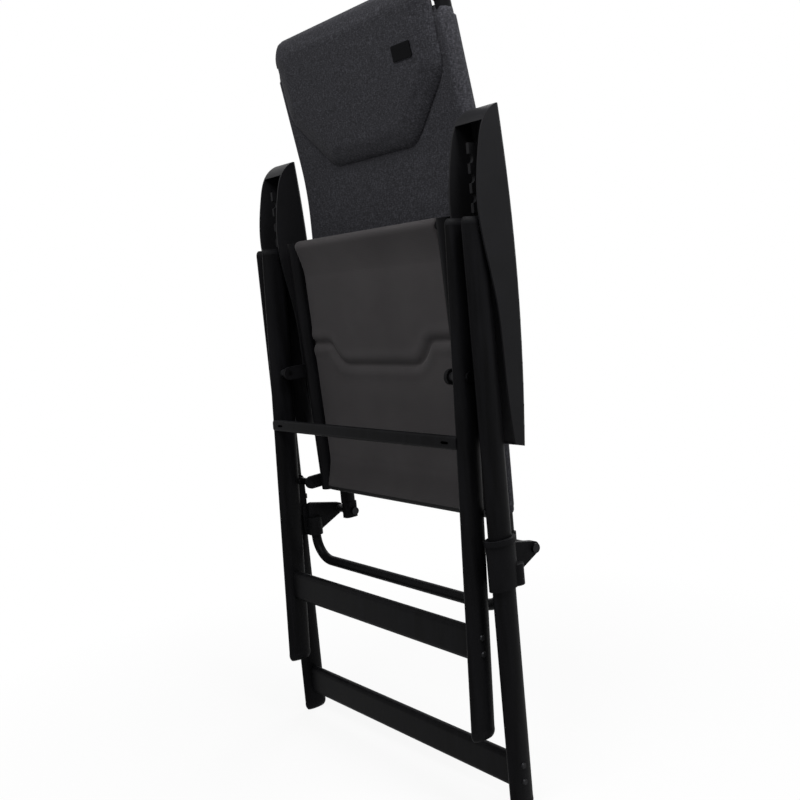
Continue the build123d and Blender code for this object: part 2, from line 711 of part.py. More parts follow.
yoke_end_z = slider_low_z + yoke_socket_depth
with BuildPart() as slider_yoke_tube:
    with BuildLine() as yoke_path:
        FilletPolyline(
            (-yoke_x, yoke_y, yoke_end_z),
            (-yoke_x, yoke_y, yoke_low_z),
            (yoke_x, yoke_y, yoke_low_z),
            (yoke_x, yoke_y, yoke_end_z),
            radius=yoke_bend,
        )
    with BuildSketch(Plane((-yoke_x, yoke_y, yoke_end_z), x_dir=(1, 0, 0), z_dir=(0, 0, -1))):
        Circle(yoke_tube / 2)
        Circle(yoke_tube / 2 - yoke_wall, mode=Mode.SUBTRACT)
    sweep(path=yoke_path.line)
slider_yoke_tube.part.label = "slider_yoke_tube"
export_step(slider_yoke_tube.part, "parts/slider_yoke_tube.step")

# Back pivot: a bolt fixed in the slider's ear, a bush turning on it inside the rail's shoe
ear_outer_x = slider_plate_x + slider_plate_thick
bush_inner_x = back_rail_x - shoe_across / 2
with BuildPart() as back_pivot_bolts:
    with BuildSketch(Plane.YZ.offset(ear_outer_x)):
        with Locations((back_pivot_y, back_pivot_z)):
            Circle(back_bolt_head_radius)
    extrude(amount=back_bolt_head_height)
    with BuildSketch(Plane.YZ.offset(ear_outer_x)):
        with Locations((back_pivot_y, back_pivot_z)):
            Circle(back_bolt_radius)
    extrude(amount=bush_inner_x - side_gap - ear_outer_x)
    with BuildSketch(Plane.YZ.offset(bush_inner_x - side_gap)):
        with Locations((back_pivot_y, back_pivot_z)):
            Circle(back_bolt_head_radius)
    extrude(amount=-back_bolt_head_height)
    mirror(about=Plane.YZ)
back_pivot_bolts.part.label = "back_pivot_bolts"
export_step(back_pivot_bolts.part, "parts/back_pivot_bolts.step")

with BuildPart() as back_pivot_bushes:
    with BuildSketch(Plane.YZ.offset(bush_inner_x)):
        with Locations((back_pivot_y, back_pivot_z)):
            Circle(back_bush_radius)
            Circle(back_bolt_radius + running_gap, mode=Mode.SUBTRACT)
    extrude(amount=slider_plate_x - side_gap - bush_inner_x)
    mirror(about=Plane.YZ)
back_pivot_bushes.part.label = "back_pivot_bushes"
export_step(back_pivot_bushes.part, "parts/back_pivot_bushes.step")

with BuildPart() as back_rail_shoes:
    with BuildSketch(Plane.XY.offset(shoe_low_z)):
        with Locations((back_rail_x, shoe_y)):
            RectangleRounded(shoe_across, shoe_along, shoe_corner)
    extrude(amount=back_rail_low_z - shoe_low_z)
    with BuildSketch(Plane.XY.offset(back_rail_low_z)):
        with Locations((back_rail_x, back_rail_y)):
            Ellipse(back_rail_across / 2 - back_rail_wall, back_rail_along / 2 - back_rail_wall)
    extrude(amount=plug_depth)
    with BuildSketch(Plane.YZ):
        with Locations((back_pivot_y, back_pivot_z)):
            Circle(back_bush_radius + running_gap)
    extrude(amount=2 * back_rail_x, mode=Mode.SUBTRACT)
    mirror(about=Plane.YZ)
back_rail_shoes.part.label = "back_rail_shoes"
export_step(back_rail_shoes.part, "parts/back_rail_shoes.step")

# Back rails run straight up and bend forward at the head
with BuildPart() as back_rail_right:
    with BuildLine() as back_path:
        FilletPolyline(
            (back_rail_x, back_rail_y, back_rail_low_z),
            (back_rail_x, back_rail_y, back_bend_z),
            (back_rail_x, back_top_y, back_rail_top_z),
            radius=back_bend_round,
        )
    with BuildSketch(Plane((back_rail_x, back_rail_y, back_rail_low_z))):
        Ellipse(back_rail_across / 2, back_rail_along / 2)
        Ellipse(
            back_rail_across / 2 - back_rail_wall,
            back_rail_along / 2 - back_rail_wall,
            mode=Mode.SUBTRACT,
        )
    sweep(path=back_path.line)
back_rail_right.part.label = "back_rail_right"
export_step(back_rail_right.part, "parts/back_rail_right.step")

with BuildPart() as back_rail_space:
    with BuildSketch(Plane((back_rail_x, back_rail_y, back_rail_low_z))):
        Ellipse(back_rail_across / 2, back_rail_along / 2)
    sweep(path=back_path.line)

with BuildPart() as back_rail_left:
    mirror(back_rail_right.part, about=Plane.YZ)
back_rail_left.part.label = "back_rail_left"
export_step(back_rail_left.part, "parts/back_rail_left.step")

# Plastic corners join the rails to the top tube
back_corner_start = Vector(back_rail_x, back_top_y, back_rail_top_z)
back_corner_turn = back_corner_start + head_up * corner_reach
back_corner_end = back_corner_turn - Vector(corner_reach, 0, 0)
with BuildPart() as back_corner_joints:
    with BuildLine() as corner_path:
        FilletPolyline(back_corner_start, back_corner_turn, back_corner_end, radius=corner_bend)
    with BuildSketch(Plane(back_corner_start, x_dir=(1, 0, 0), z_dir=head_up)):
        Ellipse(corner_across / 2, corner_along / 2)
    sweep(path=corner_path.line)
    with BuildSketch(Plane(back_corner_start, x_dir=(1, 0, 0), z_dir=-head_up)):
        Ellipse(back_rail_across / 2 - back_rail_wall, back_rail_along / 2 - back_rail_wall)
    extrude(amount=plug_depth)
    with BuildSketch(Plane(back_corner_end, x_dir=head_up, z_dir=(-1, 0, 0))):
        Circle(top_tube / 2 - top_tube_wall)
    extrude(amount=plug_depth)
    mirror(about=Plane.YZ)
back_corner_joints.part.label = "back_corner_joints"
export_step(back_corner_joints.part, "parts/back_corner_joints.step")

with BuildPart() as back_top_tube:
    with BuildSketch(Plane(top_tube_at, x_dir=head_up, z_dir=(1, 0, 0))):
        Circle(top_tube / 2)
        Circle(top_tube / 2 - top_tube_wall, mode=Mode.SUBTRACT)
    extrude(amount=back_rail_x - corner_reach, both=True)
back_top_tube.part.label = "back_top_tube"
export_step(back_top_tube.part, "parts/back_top_tube.step")

# Back pad: a fabric and foam sleeve over both rails, notched at the armrest brackets
arm_bracket_low_z = arm_pivot_z - arm_bracket_tall / 2
back_pad_deep = back_pad_front + back_pad_rear
back_pad_shift = (back_pad_rear - back_pad_front) / 2
back_pad_mid = Plane((0, back_rail_y + back_pad_shift, back_pad_low_z))
back_pad_bend = Plane((0, back_rail_y + back_pad_shift, back_bend_z - back_pad_bend_reach))
head_pad_plane = Plane(
    Vector(0, back_rail_y, back_bend_z) - head_front * back_pad_shift,
    x_dir=(1, 0, 0),
    z_dir=head_up,
)
back_pad_head_long = (back_pad_top_z - back_bend_z) / cos(radians(back_lean))
with BuildPart() as back_pad:
    with BuildSketch(back_pad_mid):
        RectangleRounded(
            2 * (back_pad_half - back_pad_end_draw),
            back_pad_deep - back_pad_end_draw,
            back_pad_end_corner,
        )
    with BuildSketch(back_pad_mid.offset(back_pad_end_tall)):
        RectangleRounded(2 * back_pad_half, back_pad_deep, back_pad_corner)
    with BuildSketch(back_pad_bend):
        RectangleRounded(2 * back_pad_half, back_pad_deep, back_pad_corner)
    loft(ruled=True)
    with BuildSketch(back_pad_bend):
        RectangleRounded(2 * back_pad_half, back_pad_deep, back_pad_corner)
    with BuildSketch(head_pad_plane.offset(back_pad_bend_reach)):
        RectangleRounded(2 * back_pad_half, back_pad_deep, back_pad_corner)
    loft()
    with BuildSketch(head_pad_plane.offset(back_pad_bend_reach)):
        RectangleRounded(2 * back_pad_half, back_pad_deep, back_pad_corner)
    with BuildSketch(head_pad_plane.offset(back_pad_head_long)):
        RectangleRounded(2 * back_pad_half, back_pad_deep, back_pad_corner)
    loft(ruled=True)
    with BuildSketch(Plane.YZ):
        with Locations((back_rail_y - back_pad_front, back_bend_z - 2 * back_seam_gap)):
            with GridLocations(0, back_seam_gap, 1, 3):
                Circle(back_seam_radius)
    extrude(amount=2 * back_pad_half, both=True, mode=Mode.SUBTRACT)
    with BuildSketch(Plane.XY.offset(arm_bracket_low_z - arm_bracket_gap)):
        with Locations((back_pad_half, back_rail_y), (-back_pad_half, back_rail_y)):
            Rectangle(2 * (back_pad_half - back_rail_x + back_rail_across), 3 * back_rail_along)
    extrude(amount=arm_bracket_tall + 2 * arm_bracket_gap, mode=Mode.SUBTRACT)
    add(back_rail_space.part, mode=Mode.SUBTRACT)
    mirror(back_rail_space.part, about=Plane.YZ, mode=Mode.SUBTRACT)
back_pad.part.label = "back_pad"
export_step(back_pad.part, "parts/back_pad.step")

# Headrest: a fuller cushion sewn on the front of the pad, its lower edge dropping in the middle
with BuildSketch() as headrest_outline:
    with BuildLine():
        Polyline(
            (0, headrest_bottom),
            (headrest_bottom_half, headrest_bottom),
            (headrest_side_half, headrest_side_low),
            (headrest_half, headrest_side_high),
            (headrest_half, headrest_top),
            (0, headrest_top),
        )
        mirror(about=Plane.YZ)
    make_face()
    fillet(vertices().filter_by(lambda corner: abs(corner.X) > 1), headrest_corner)

headrest_plane = head_plane.offset(back_pad_front)
with BuildPart() as headrest_cushion:
    with BuildSketch(headrest_plane):
        add(headrest_outline.sketch)
        offset(amount=-headrest_edge_draw, mode=Mode.REPLACE)
    with BuildSketch(headrest_plane.offset(headrest_thick * 0.3)):
        add(headrest_outline.sketch)
    with BuildSketch(headrest_plane.offset(headrest_thick * 0.7)):
        add(headrest_outline.sketch)
        offset(amount=-headrest_side_draw, mode=Mode.REPLACE)
    with BuildSketch(headrest_plane.offset(headrest_thick)):
        add(headrest_outline.sketch)
        offset(amount=-headrest_front_draw, mode=Mode.REPLACE)
    loft()
    add(back_pad.part, mode=Mode.SUBTRACT)
headrest_cushion.part.label = "headrest_cushion"
export_step(headrest_cushion.part, "parts/headrest_cushion.step")

with BuildPart() as headrest_patch:
    with BuildSketch(headrest_plane.offset(headrest_thick)):
        with Locations((patch_x, patch_up)):
            RectangleRounded(patch_wide, patch_tall, patch_corner)
    extrude(amount=patch_thick)
headrest_patch.part.label = "headrest_patch"
export_step(headrest_patch.part, "parts/headrest_patch.step")

# Armrest brackets are collars round the back rails with a lug that reaches forward
arm_lug_thick = arm_inner_x - arm_wall - arm_flange_thick - 2 * side_gap - arm_lug_x
with BuildPart() as arm_brackets:
    with BuildSketch(Plane.XY.offset(arm_bracket_low_z)):
        with Locations((back_rail_x, back_rail_y)):
            Ellipse(back_rail_across / 2 + arm_bracket_wall, back_rail_along / 2 + arm_bracket_wall)
    extrude(amount=arm_bracket_tall)
    with BuildSketch(Plane.YZ.offset(arm_lug_x)):
        with Locations((arm_pivot_y, arm_pivot_z)):
            Circle(arm_lug_round)
        with Locations((back_rail_y, arm_pivot_z)):
            Circle(arm_bracket_round)
        make_hull()
    extrude(amount=arm_lug_thick)
    with BuildSketch(Plane.XY):
        with Locations((back_rail_x, back_rail_y)):
            Ellipse(back_rail_across / 2, back_rail_along / 2)
    extrude(amount=back_bend_z, mode=Mode.SUBTRACT)
    with BuildSketch(Plane.YZ.offset(arm_lug_x)):
        with Locations((arm_pivot_y, arm_pivot_z)):
            Circle(arm_pin_radius)
    extrude(amount=arm_lug_thick, mode=Mode.SUBTRACT)
    mirror(about=Plane.YZ)
arm_brackets.part.label = "arm_brackets"
export_step(arm_brackets.part, "parts/arm_brackets.step")

arm_bush_end_x = arm_inner_x + arm_bush_proud
with BuildPart() as arm_pins:
    with BuildSketch(Plane.YZ.offset(arm_lug_x)):
        with Locations((arm_pivot_y, arm_pivot_z)):
            Circle(arm_pin_radius)
    extrude(amount=arm_bush_end_x - arm_lug_x)
    mirror(about=Plane.YZ)
arm_pins.part.label = "arm_pins"
export_step(arm_pins.part, "parts/arm_pins.step")

arm_flange_x = arm_lug_x + arm_lug_thick + side_gap
with BuildPart() as arm_bush_right:
    with BuildSketch(Plane.YZ.offset(arm_flange_x)):
        with Locations((arm_pivot_y, arm_pivot_z)):
            Circle(arm_flange_radius)
    extrude(amount=arm_flange_thick)
    with BuildSketch(Plane.YZ.offset(arm_flange_x)):
        with Locations((arm_pivot_y, arm_pivot_z)):
            Circle(arm_bush_radius)
    extrude(amount=arm_bush_end_x - arm_flange_x)
    with BuildSketch(Plane.YZ.offset(arm_flange_x)):
        with Locations((arm_pivot_y, arm_pivot_z)):
            Circle(arm_pin_radius + running_gap)
    extrude(amount=arm_bush_end_x - arm_flange_x, mode=Mode.SUBTRACT)
arm_bush_right.part.label = "arm_bush_right"
export_step(arm_bush_right.part, "parts/arm_bush_right.step")

with BuildPart() as arm_bush_left:
    mirror(arm_bush_right.part, about=Plane.YZ)
arm_bush_left.part.label = "arm_bush_left"
export_step(arm_bush_left.part, "parts/arm_bush_left.step")

# Armrest: moulded channel, arched along its length, with a bow-shaped front end
arm_middle_z = (arm_low_z + arm_high_z) / 2
with BuildSketch() as arm_outline:
    with BuildLine():
        rear_end = Line((arm_back_y, arm_low_z), (arm_back_y - arm_end_deep, arm_low_z + arm_end_up))
        edge = Spline(
            rear_end @ 1,
            (arm_back_y - arm_quarter_deep, arm_low_z + arm_quarter_up),
            (arm_back_y - arm_middle_deep, arm_low_z + arm_middle_up),
            (arm_back_y - arm_deep, arm_low_z + arm_deep_up),
            (arm_back_y - arm_bow_low_deep, arm_high_z - arm_bow_low_down),
            (arm_back_y - arm_bow_high_deep, arm_high_z - arm_bow_high_down),
            (arm_back_y - arm_tip_flat, arm_high_z),
        )
        tip = Line(edge @ 1, (arm_back_y, arm_high_z))
        ThreePointArc(tip @ 1, (arm_back_y + arm_arch, arm_middle_z), rear_end @ 0)
    make_face()

# The space inside the channel opens towards the front below a short hood at the tip
with BuildSketch() as arm_space:
    with BuildLine():
        roof = ThreePointArc(
            (arm_back_y - arm_top_wall, arm_ceiling_z),
            (arm_back_y + arm_arch - arm_top_wall, arm_middle_z),
            (arm_back_y - arm_top_wall, arm_low_z + arm_top_wall),
        )
        Polyline(
            roof @ 1,
            (arm_back_y - 2 * arm_deep, arm_low_z + arm_top_wall),
            (arm_back_y - 2 * arm_deep, arm_mouth_z),
            (arm_back_y - arm_deep / 2, arm_mouth_z),
            roof @ 0,
        )
    make_face()

with BuildPart() as armrest_right:
    with BuildSketch(Plane.YZ.offset(arm_inner_x - arm_wall)):
        add(arm_outline.sketch)
    extrude(amount=arm_outer_x - arm_inner_x + 2 * arm_wall)
    fillet(edges().filter_by(GeomType.CIRCLE), arm_edge_round)
    with BuildSketch(Plane.YZ.offset(arm_inner_x)):
        add(arm_space.sketch)
    extrude(amount=arm_outer_x - arm_inner_x, mode=Mode.SUBTRACT)
    with BuildSketch(Plane.YZ.offset(arm_inner_x - arm_wall)):
        with Locations((arm_pivot_y, arm_pivot_z)):
            Circle(arm_bush_radius + running_gap)
    extrude(amount=arm_wall, mode=Mode.SUBTRACT)
armrest_right.part.label = "armrest_right"
export_step(armrest_right.part, "parts/armrest_right.step")

with BuildPart() as armrest_left:
    mirror(armrest_right.part, about=Plane.YZ)
armrest_left.part.label = "armrest_left"
export_step(armrest_left.part, "parts/armrest_left.step")

# Rack: a notched rib on a foot under each armrest, over the hinge spacer between the legs
rack_root_y = arm_back_y + arm_arch
rack_foot_y = arm_back_y - rack_base_low
rack_mid_z = (rack_low_z + rack_high_z) / 2
with BuildPart() as arm_rack_right:
    with BuildSketch(Plane.YZ.offset(rack_x - rack_thick / 2)):
        with Locations(((rack_root_y + rack_tip_y) / 2, rack_mid_z)):
            Rectangle(rack_root_y - rack_tip_y, rack_high_z - rack_low_z)
        with Locations((rack_tip_y, rack_first_z + rack_pitch * (rack_notches - 1) / 2)):
            with GridLocations(0, rack_pitch, 1, rack_notches):
                Circle(rack_notch_radius, mode=Mode.SUBTRACT)
    extrude(amount=rack_thick)
    with BuildSketch(Plane.YZ.offset(rack_x - rack_base_wide / 2)):
        with Locations(((rack_root_y + rack_foot_y) / 2, rack_mid_z)):
            Rectangle(rack_root_y - rack_foot_y, rack_high_z - rack_low_z)
    extrude(amount=rack_base_wide)
    with BuildSketch(Plane.YZ.offset(arm_inner_x)):
        add(arm_space.sketch)
    extrude(amount=arm_outer_x - arm_inner_x, mode=Mode.INTERSECT)
arm_rack_right.part.label = "arm_rack_right"
export_step(arm_rack_right.part, "parts/arm_rack_right.step")

with BuildPart() as arm_rack_left:
    mirror(arm_rack_right.part, about=Plane.YZ)
arm_rack_left.part.label = "arm_rack_left"
export_step(arm_rack_left.part, "parts/arm_rack_left.step")
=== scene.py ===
"""Looks of the folding camp chair, folded flat and standing upright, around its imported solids."""

import math

import bpy
import numpy as np
from mathutils import Matrix, Vector


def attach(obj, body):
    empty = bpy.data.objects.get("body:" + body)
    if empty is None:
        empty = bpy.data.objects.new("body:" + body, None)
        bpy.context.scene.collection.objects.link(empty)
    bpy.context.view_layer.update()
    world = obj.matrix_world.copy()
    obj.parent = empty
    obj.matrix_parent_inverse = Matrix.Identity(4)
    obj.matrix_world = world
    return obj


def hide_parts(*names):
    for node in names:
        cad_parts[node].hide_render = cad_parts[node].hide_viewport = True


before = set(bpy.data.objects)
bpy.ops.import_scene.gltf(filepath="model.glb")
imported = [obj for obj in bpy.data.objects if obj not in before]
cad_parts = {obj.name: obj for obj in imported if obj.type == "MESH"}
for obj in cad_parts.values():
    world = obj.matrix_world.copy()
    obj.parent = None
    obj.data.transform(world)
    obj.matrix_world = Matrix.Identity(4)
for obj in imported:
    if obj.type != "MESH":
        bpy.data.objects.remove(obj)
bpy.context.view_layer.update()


# Legs and bars: oval and flattened aluminium tubes, drawn, cut and powder coated in satin black.
# The rear pair stands upright, the front pair leans inside it, and screws hold the bars between.
def linear(hex_code):
    """sRGB hex digits to linear RGBA: c / 12.92 up to 0.04045, above it ((c + 0.055) / 1.055) ** 2.4."""
    channels = np.array([int(hex_code[i : i + 2], 16) for i in (0, 2, 4)]) / 255
    light = np.where(channels <= 0.04045, channels / 12.92, ((channels + 0.055) / 1.055) ** 2.4)
    return (*light.tolist(), 1.0)


def add_node(material, kind, settings, links):
    """One shader node: settings are its properties or input values, links feed its inputs from outputs."""
    made = material.node_tree.nodes.new(kind)
    for key, value in settings.items():
        if isinstance(key, int) or key in made.inputs:
            made.inputs[key].default_value = value
        else:
            setattr(made, key, value)
    for key, source in links.items():
        material.node_tree.links.new(source, made.inputs[key])
    return made


def new_material(name):
    """An empty node material and the object coordinates that its patterns use."""
    material = bpy.data.materials.new(name)
    material.use_nodes = True
    material.node_tree.nodes.clear()
    return material, add_node(material, "ShaderNodeTexCoord", {}, {}).outputs["Object"]


def noise(material, place, size_mm, detail):
    """Noise with cells of size_mm."""
    pattern = add_node(
        material, "ShaderNodeTexNoise", {"Scale": 1000 / size_mm, "Detail": detail}, {"Vector": place}
    )
    return pattern.outputs["Fac"]


def two_tone(material, factor, dark, light, low=0.0, high=1.0, between=()):
    """A colour that runs from dark at the factor low to light at high; between holds further (factor, colour)."""
    ramp = add_node(material, "ShaderNodeValToRGB", {}, {"Fac": factor})
    stops = ramp.color_ramp.elements
    stops[0].position, stops[0].color = low, linear(dark)
    stops[1].position, stops[1].color = high, linear(light)
    for position, colour in between:
        stops.new(position).color = linear(colour)
    return ramp.outputs["Color"]


def bump(material, height, strength, deep_mm):
    """A fine relief, deep_mm from low to high."""
    relief = add_node(
        material, "ShaderNodeBump", {"Strength": strength, "Distance": deep_mm / 1000}, {"Height": height}
    )
    return relief.outputs["Normal"]


def surface(material, settings, links):
    """Ends a material: its shader, with even values and what feeds it, and the output."""
    shader = add_node(material, "ShaderNodeBsdfPrincipled", settings, links)
    add_node(material, "ShaderNodeOutputMaterial", {}, {"Surface": shader.outputs["BSDF"]})


def dress(material, *names):
    """Puts a material on whole CAD nodes."""
    for name in names:
        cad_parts[name].data.materials.clear()
        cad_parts[name].data.materials.append(material)


# Powder coat: melted grains leave an orange peel of about 2 mm, a soft gloss and faint rubbed streaks
peel_mm = 2.0
rub_mm = 60.0
rub_stretch = (6.0, 6.0, 0.6)
powder_coat, place = new_material("powder_coated_aluminium")
peel = noise(powder_coat, place, peel_mm, 2.0)
drawn_out = add_node(powder_coat, "ShaderNodeMapping", {"Scale": rub_stretch}, {"Vector": place})
rubbed = noise(powder_coat, drawn_out.outputs[0], rub_mm, 5.0)
gloss = add_node(
    powder_coat,
    "ShaderNodeMapRange",
    {"From Min": 0.3, "From Max": 0.8, "To Min": 0.36, "To Max": 0.5},
    {"Value": rubbed},
)
surface(
    powder_coat,
    {"IOR": 1.5, "Specular IOR Level": 0.03},
    {
        "Base Color": two_tone(powder_coat, rubbed, "0b0b0c", "131315", 0.35, 0.75),
        "Roughness": gloss.outputs["Result"],
        "Normal": bump(powder_coat, peel, 0.12, 0.4),
    },
)
dress(
    powder_coat,
    "rear_leg_left", "rear_leg_right", "rear_crossbar",
    "front_leg_left", "front_leg_right", "front_crossbar", "front_brace_bar",
    "slider_yoke_tube", "seat_rail_left", "seat_rail_right", "seat_front_tube", "seat_rear_tube",
    "back_rail_left", "back_rail_right", "back_top_tube",
)


# Screws, bolts and pins: zinc plated steel, blackened, with domed or flat heads.
# They hold the bars to the legs and carry the seat, back and armrest pivots.
scratch_mm = 1.5
black_zinc, place = new_material("black_zinc_steel")
wear = noise(black_zinc, place, scratch_mm, 3.0)
surface(
    black_zinc, {"Metallic": 1.0, "Roughness": 0.42}, {"Base Color": two_tone(black_zinc, wear, "151516", "2b2b2d")}
)
dress(
    black_zinc,
    "rear_crossbar_screws", "front_crossbar_screws", "leg_hinge_pins", "seat_front_bolts", "seat_rear_pins",
    "back_pivot_bolts", "arm_pins",
)


# Feet, caps, sliders, shoes, corners and brackets: moulded black nylon, filled with glass fibre.
# The mould's spark-eroded skin is dull and finely grained; plugs are pushed into the tubes.
skin_mm = 1.2
flow_mm = 25.0
black_nylon, place = new_material("moulded_black_nylon")
skin = noise(black_nylon, place, skin_mm, 3.0)
flow = noise(black_nylon, place, flow_mm, 2.0)
surface(
    black_nylon,
    {"Roughness": 0.5, "IOR": 1.53, "Specular IOR Level": 0.03},
    {
        "Base Color": two_tone(black_nylon, flow, "0c0c0d", "151517"),
        "Normal": bump(black_nylon, skin, 0.25, 0.3),
    },
)
dress(
    black_nylon,
    "rear_feet", "rear_leg_caps", "front_feet", "front_leg_caps", "slider_left", "slider_right",
    "back_rail_shoes", "back_corner_joints", "arm_brackets", "seat_front_brackets", "seat_rear_brackets",
)


# Spacers and bushes: turned grey nylon rings, smooth from running on their pins.
# They keep the legs, seat, back and armrests apart at the pivots.
turning_mm = 0.8
grey_nylon, place = new_material("turned_grey_nylon")
turned = noise(grey_nylon, place, turning_mm, 1.0)
surface(
    grey_nylon,
    {"Roughness": 0.38, "IOR": 1.53, "Specular IOR Level": 0.1},
    {"Base Color": two_tone(grey_nylon, turned, "161618", "202022")},
)
dress(
    grey_nylon, "leg_hinge_spacers", "seat_front_spacers", "back_pivot_bushes", "arm_bush_left", "arm_bush_right"
)


# Seat pad: foam in a sewn polyester cover, laid over both side rails and rolled round the two cross tubes.
# Folded, its underside faces the viewer; one seam runs across it and dips in the middle.
seat_middle = np.array([0.0, 0.0052, 0.6265])
seat_lean = math.radians(2.5)
seat_side = np.array([1.0, 0.0, 0.0])
seat_rearward = np.array([0.0, math.sin(seat_lean), -math.cos(seat_lean)])
seat_upper = np.array([0.0, math.cos(seat_lean), math.sin(seat_lean)])
seat_half_wide = 0.2005
seat_half_long = 0.2155
seat_corner = 0.02
seat_rail_x = 0.192
seat_rail_radius = 0.0124
seat_rail_inside = 0.176
seat_roll = 0.011
seat_sag = 0.002
seat_draw = 0.05
seat_draw_bend = 1.5
seat_over = 0.016
seat_rim = 0.02
seat_side_start = 0.004
seat_side_steep = 2
seat_under_top = 0.006
seat_stitch = 0.005
seat_groove_deep, seat_groove_wide = 0.005, 0.0045
seat_ridge_high, seat_ridge_off, seat_ridge_wide = 0.0022, 0.014, 0.008
seat_tape = 0.009


def pad_mesh(along, half_wide, front, rear):
    """A closed pad: at each height along, x = half_wide * sin(pi / 2 * q) for q from -1 to 1; the front sheet
    lies at front(x, along), the rear sheet at rear(x, along), and both meet at the sides and ends."""
    spread = np.sin(np.linspace(-1, 1, 81) * math.pi / 2)
    across = half_wide[:, None] * spread[None, :]
    up = np.repeat(along[:, None], spread.size, axis=1)
    ring_x = np.hstack([across, across[:, -2:0:-1]])
    ring_up = np.hstack([up, up[:, -2:0:-1]])
    depth = np.hstack([front(across, up), rear(across, up)[:, -2:0:-1]])
    rows, columns = ring_x.shape
    points = np.stack([ring_x, ring_up, depth], axis=2).reshape(-1, 3)
    row, column = np.meshgrid(np.arange(rows - 1), np.arange(columns), indexing="ij")
    beside = (column + 1) % columns
    quads = np.stack(
        [row * columns + column, row * columns + beside, (row + 1) * columns + beside, (row + 1) * columns + column],
        axis=2,
    ).reshape(-1, 4)
    ends = [list(range(columns - 1, -1, -1)), list(range((rows - 1) * columns, rows * columns))]
    return points, quads.tolist() + ends


def rim(distance, width):
    """Rounded rim of a pad: 0 on the border, 1 from width inwards, a quarter circle between."""
    inward = np.clip(distance / width, 0, 1)
    return np.sqrt(1 - (1 - inward) ** 2)


def new_piece(name, points, faces, material):
    """A piece at the origin whose mesh holds its place."""
    mesh = bpy.data.meshes.new(name)
    mesh.from_pydata(points.tolist(), [], faces)
    mesh.update()
    mesh.materials.append(material)
    mesh.polygons.foreach_set("use_smooth", np.ones(len(mesh.polygons), bool))
    piece = bpy.data.objects.new(name, mesh)
    bpy.context.scene.collection.objects.link(piece)
    return piece


def settle(piece):
    """Puts a piece's modifiers into its mesh."""
    bpy.context.view_layer.update()
    shaped = bpy.data.meshes.new_from_object(piece.evaluated_get(bpy.context.evaluated_depsgraph_get()))
    piece.modifiers.clear()
    piece.data = shaped
    shaped.polygons.foreach_set("use_smooth", np.ones(len(shaped.polygons), bool))


def spots(piece):
    """The mesh's points as one array."""
    flat = np.empty(len(piece.data.vertices) * 3)
    piece.data.vertices.foreach_get("co", flat)
    return flat.reshape(-1, 3)


def move_spots(piece, points):
    """Puts an array of points back into the mesh."""
    piece.data.vertices.foreach_set("co", points.ravel())
    piece.data.update()


def puff(piece, voxel, cap, sewn, finer, pressure=3.0, frames=12):
    """Cover blown up by its foam: even quads of voxel size, cloth under pressure for some frames with the sewn
    points held, each other point moved by at most cap, then subdivided finer times."""
    even = piece.modifiers.new("even", "REMESH")
    even.mode = "VOXEL"
    even.voxel_size = voxel
    settle(piece)
    before = spots(piece)
    held = piece.vertex_groups.new(name="sewn")
    held.add(np.flatnonzero(sewn(before)).tolist(), 1.0, "REPLACE")
    cover = piece.modifiers.new("cover", "CLOTH")
    cover.settings.vertex_group_mass = "sewn"
    cover.settings.use_pressure = True
    cover.settings.uniform_pressure_force = pressure
    cover.settings.effector_weights.gravity = 0.0
    cover.settings.quality = 4
    cover.collision_settings.use_collision = False
    cover.point_cache.frame_start = 1
    cover.point_cache.frame_end = frames
    for moment in range(1, frames + 1):
        bpy.context.scene.frame_set(moment)
    blown = bpy.data.meshes.new_from_object(piece.evaluated_get(bpy.context.evaluated_depsgraph_get()))
    after = np.empty(before.size)
    blown.vertices.foreach_get("co", after)
    bpy.data.meshes.remove(blown)
    piece.modifiers.clear()
    piece.vertex_groups.clear()
    bpy.context.scene.frame_set(1)
    step = after.reshape(-1, 3) - before
    length = np.linalg.norm(step, axis=1, keepdims=True)
    move_spots(piece, before + step * np.minimum(1.0, cap / np.maximum(length, 1e-9)))
    smooth = piece.modifiers.new("smooth", "SUBSURF")
    smooth.levels = finer
    smooth.render_levels = finer
    settle(piece)


def line_distance(points, line):
    """Shortest distance of 2-D points to a chain of straight runs."""
    start, run = line[:-1], np.diff(line, axis=0)
    offset = points[:, None, :] - start[None, :, :]
    share = np.clip((offset * run).sum(2) / (run * run).sum(1), 0, 1)
    return np.linalg.norm(offset - share[:, :, None] * run[None, :, :], axis=2).min(1)


def swell(distance, width):
    """A soft ridge or groove: exp(-(distance / width) ** 2)."""
    return np.exp(-((distance / width) ** 2))


def seat_under(across, up):
    """Underside of the seat pad: at the sag between the rails, drawn smoothly down to the end rolls, up over the
    rails: the roll is -sqrt(r2 - (|up| - reach)2), the rail sqrt(R2 - (|across| - rail)2), the higher of both."""
    past_roll = np.abs(up) - (seat_half_long - seat_roll)
    roll = -np.sqrt(seat_roll**2 - np.clip(past_roll, 0, seat_roll) ** 2)
    drawn = np.clip(1 + past_roll / seat_draw, 0, 1)
    between = np.where(past_roll > 0, roll, seat_sag - (seat_sag + seat_roll) * drawn**seat_draw_bend)
    from_rail = np.clip(np.abs(across) - seat_rail_x, -seat_rail_radius, seat_rail_radius)
    over_rail = np.sqrt(seat_rail_radius**2 - from_rail**2)
    return np.where(np.abs(across) > seat_rail_x - seat_rail_radius, np.maximum(over_rail, between), between)


def seat_top(across, up):
    """Upper side of the seat pad: its height times a rounded rim, by the distance to the pad's ends and sides,
    and never below the end rolls."""
    from_roll = np.clip(np.abs(up) - (seat_half_long - seat_roll), -seat_roll, seat_roll)
    roll = np.sqrt(seat_roll**2 - from_roll**2)
    side = (seat_half_wide - np.abs(across)) * seat_side_steep + seat_side_start
    edge = np.minimum(seat_half_long - np.abs(up), side)
    return np.maximum(np.where(from_roll > 0, roll, 0.0), seat_over * rim(np.maximum(edge, 0), seat_rim))


